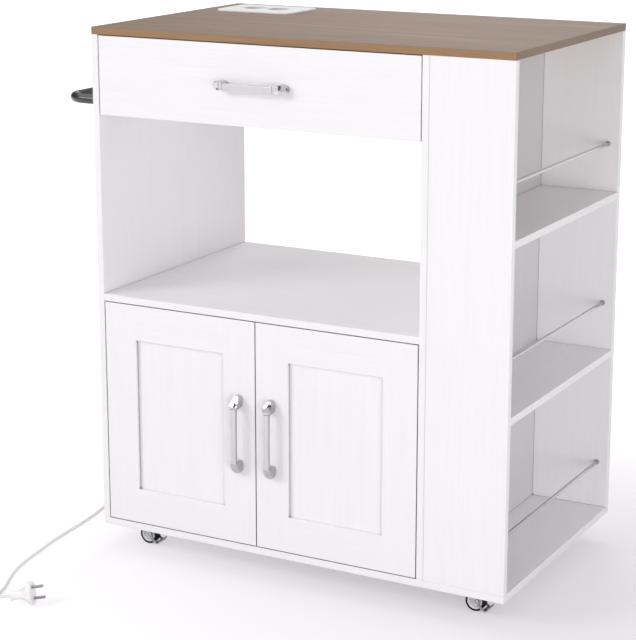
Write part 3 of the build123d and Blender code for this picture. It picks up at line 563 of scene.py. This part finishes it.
def studio_world():
    """Even light from all round, plain white for the camera, and for mirrors a painted reflection of a
    studio with dark cards.
    """
    world = bpy.data.worlds.new("studio")
    bpy.context.scene.world = world
    world.use_nodes = True
    nodes = Nodes(world.node_tree)
    path = nodes.node("ShaderNodeLightPath").outputs
    across, _, up = nodes.split(nodes.node("ShaderNodeTexCoord").outputs["Generated"])
    card = nodes.span(nodes.absolute(across), *CARD_EDGES, smooth=True)
    ring = nodes.span(up, *RING_EDGES, smooth=True)
    softbox = nodes.span(up, *SOFTBOX_EDGES, smooth=True)
    # Painted reflection: glossy rays see dark cards, a dark ring and a bright softbox, which light nothing
    painted_reflection = nodes.mix(nodes.larger(card, ring), STUDIO_WHITE, PAINTED_CARD_COLOUR)
    painted_reflection = nodes.mix(softbox, painted_reflection, PAINTED_SOFTBOX_COLOUR)
    seen = nodes.larger(path["Is Camera Ray"], path["Is Transmission Ray"])
    dome = nodes.background(STUDIO_WHITE, DOME_LIGHT)
    shown = nodes.mix_shader(seen, dome, nodes.background(STUDIO_WHITE, 1.0))
    shown = nodes.mix_shader(path["Is Glossy Ray"], shown, nodes.background(painted_reflection, 1.0))
    nodes.node("ShaderNodeOutputWorld", {"Surface": shown})


def area_light(name, place, target, size, power):
    """A rectangular lamp that points at the target."""
    data = bpy.data.lights.new(name, "AREA")
    data.shape = "RECTANGLE"
    data.size, data.size_y = size
    data.energy = power
    lamp = add_object(name, data)
    lamp.location = place
    lamp.rotation_euler = (Vector(target) - Vector(place)).to_track_quat("-Z", "Y").to_euler()
    lamp.visible_glossy = name in LAMPS_IN_MIRRORS


add_camera()

# White boards, each with its grain along the board
board_x = white_board("white_board_grain_x", "x")
board_y = white_board("white_board_grain_y", "y")
board_z = white_board("white_board_grain_z", "z")
rack_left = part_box("divider_panel")[1].x
rack_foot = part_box("rack_front_panel")[0].z
rack_board = white_board("white_board_rack_front", "z", joints=((0, rack_left), (2, rack_foot)))
dress(board_x, "bottom_panel", "microwave_shelf", "rear_rail", "adjustable_shelf", "drawer_front")
dress(board_y, "drawer_sides", "rack_shelf_lower", "rack_shelf_upper")
dress(board_z, "left_panel", "rack_rear_panel", "left_door_panel", "right_door_panel")
dress(rack_board, "divider_panel", "rack_front_panel")
dress(wood_top(), "worktop")
dress(hardboard(), "cabinet_back_panel", "drawer_bottom")

# Metals and plastics
chrome = metal("polished_chrome", (0.54, 0.54, 0.55), (0.45, 0.45, 0.46), 0.12, "y", brushing=0.1)
zinc = metal("zinc_plated_steel", (0.62, 0.63, 0.64), (0.50, 0.51, 0.53), 0.36, "z", along=60, across=500)
pedal_steel = metal("pedal_steel", (0.42, 0.42, 0.43), (0.33, 0.33, 0.34), 0.42, "x", along=60, across=500)
pin_metal = metal("nickel_pin", (0.33, 0.33, 0.34), (0.26, 0.26, 0.27), 0.34, "x", brushing=0.4)
white_plastic = plastic("white_moulded_plastic", (0.945, 0.93, 0.94), (0.915, 0.90, 0.91), 0.34)
hub_plastic = plastic("wheel_hub_plastic", (0.93, 0.92, 0.93), (0.88, 0.87, 0.88), 0.3, corner_shade=0.7)
catch_plastic = plastic("catch_plastic", (0.80, 0.80, 0.79), (0.72, 0.72, 0.71), 0.5)
cord_plastic = plastic("cord_sheath", (0.84, 0.835, 0.84), (0.78, 0.775, 0.78), 0.45, 900, 0.00003)
tyre_rubber = black_rubber()
dress(chrome, "rack_rods")
dress(zinc, "shelf_pins", "cabinet_runners", "drawer_runners")
dress(zinc, "hinge_arms", "caster_plates", "carcass_screws")
dress(pin_metal, "plug_pins")
dress(white_plastic, "socket_plate", "socket_housing", "strain_relief", "plug_body")
dress(socket_well_plastic(), "socket_wells")
dress(catch_plastic, "magnetic_catch")
dress(cord_plastic, "power_cord")
dress(painted_black(), "towel_bar")

# What repeats on the left and the right, and at the front and the rear
dress(bow_handle("drawer_handle", "x"), "drawer_handle")
for side in ("left", "right"):
    dress(door_board(side), f"{side}_door_frame")
    dress(bow_handle(f"{side}_door_handle", "z"), f"{side}_door_handle")
    dress(zinc, f"{side}_door_hinge_cups", f"{side}_door_strike")
    dress(pedal_steel, f"brake_pedal_front_{side}")
    for end in ("front", "rear"):
        dress(white_plastic, f"{end}_roller_{side}")
        dress(zinc, f"caster_fork_{end}_{side}")
        dress(hub_plastic, f"wheel_hub_{end}_{side}")
        dress(tyre_rubber, f"wheel_tyre_{end}_{side}")

# The cord replaces its plain solid
cord = cord_curve("power_cord_smooth", CORD_POINTS, CORD_RADIUS)
cord.data.materials.append(cord_plastic)
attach(cord, "carcass")
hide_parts("power_cord")

# Floor, dome and lamps
stage_floor()
studio_world()
for name, (place, target, size, power) in LAMPS.items():
    area_light(name, place, target, size, power)
bpy.context.scene.view_settings.view_transform = "Standard"
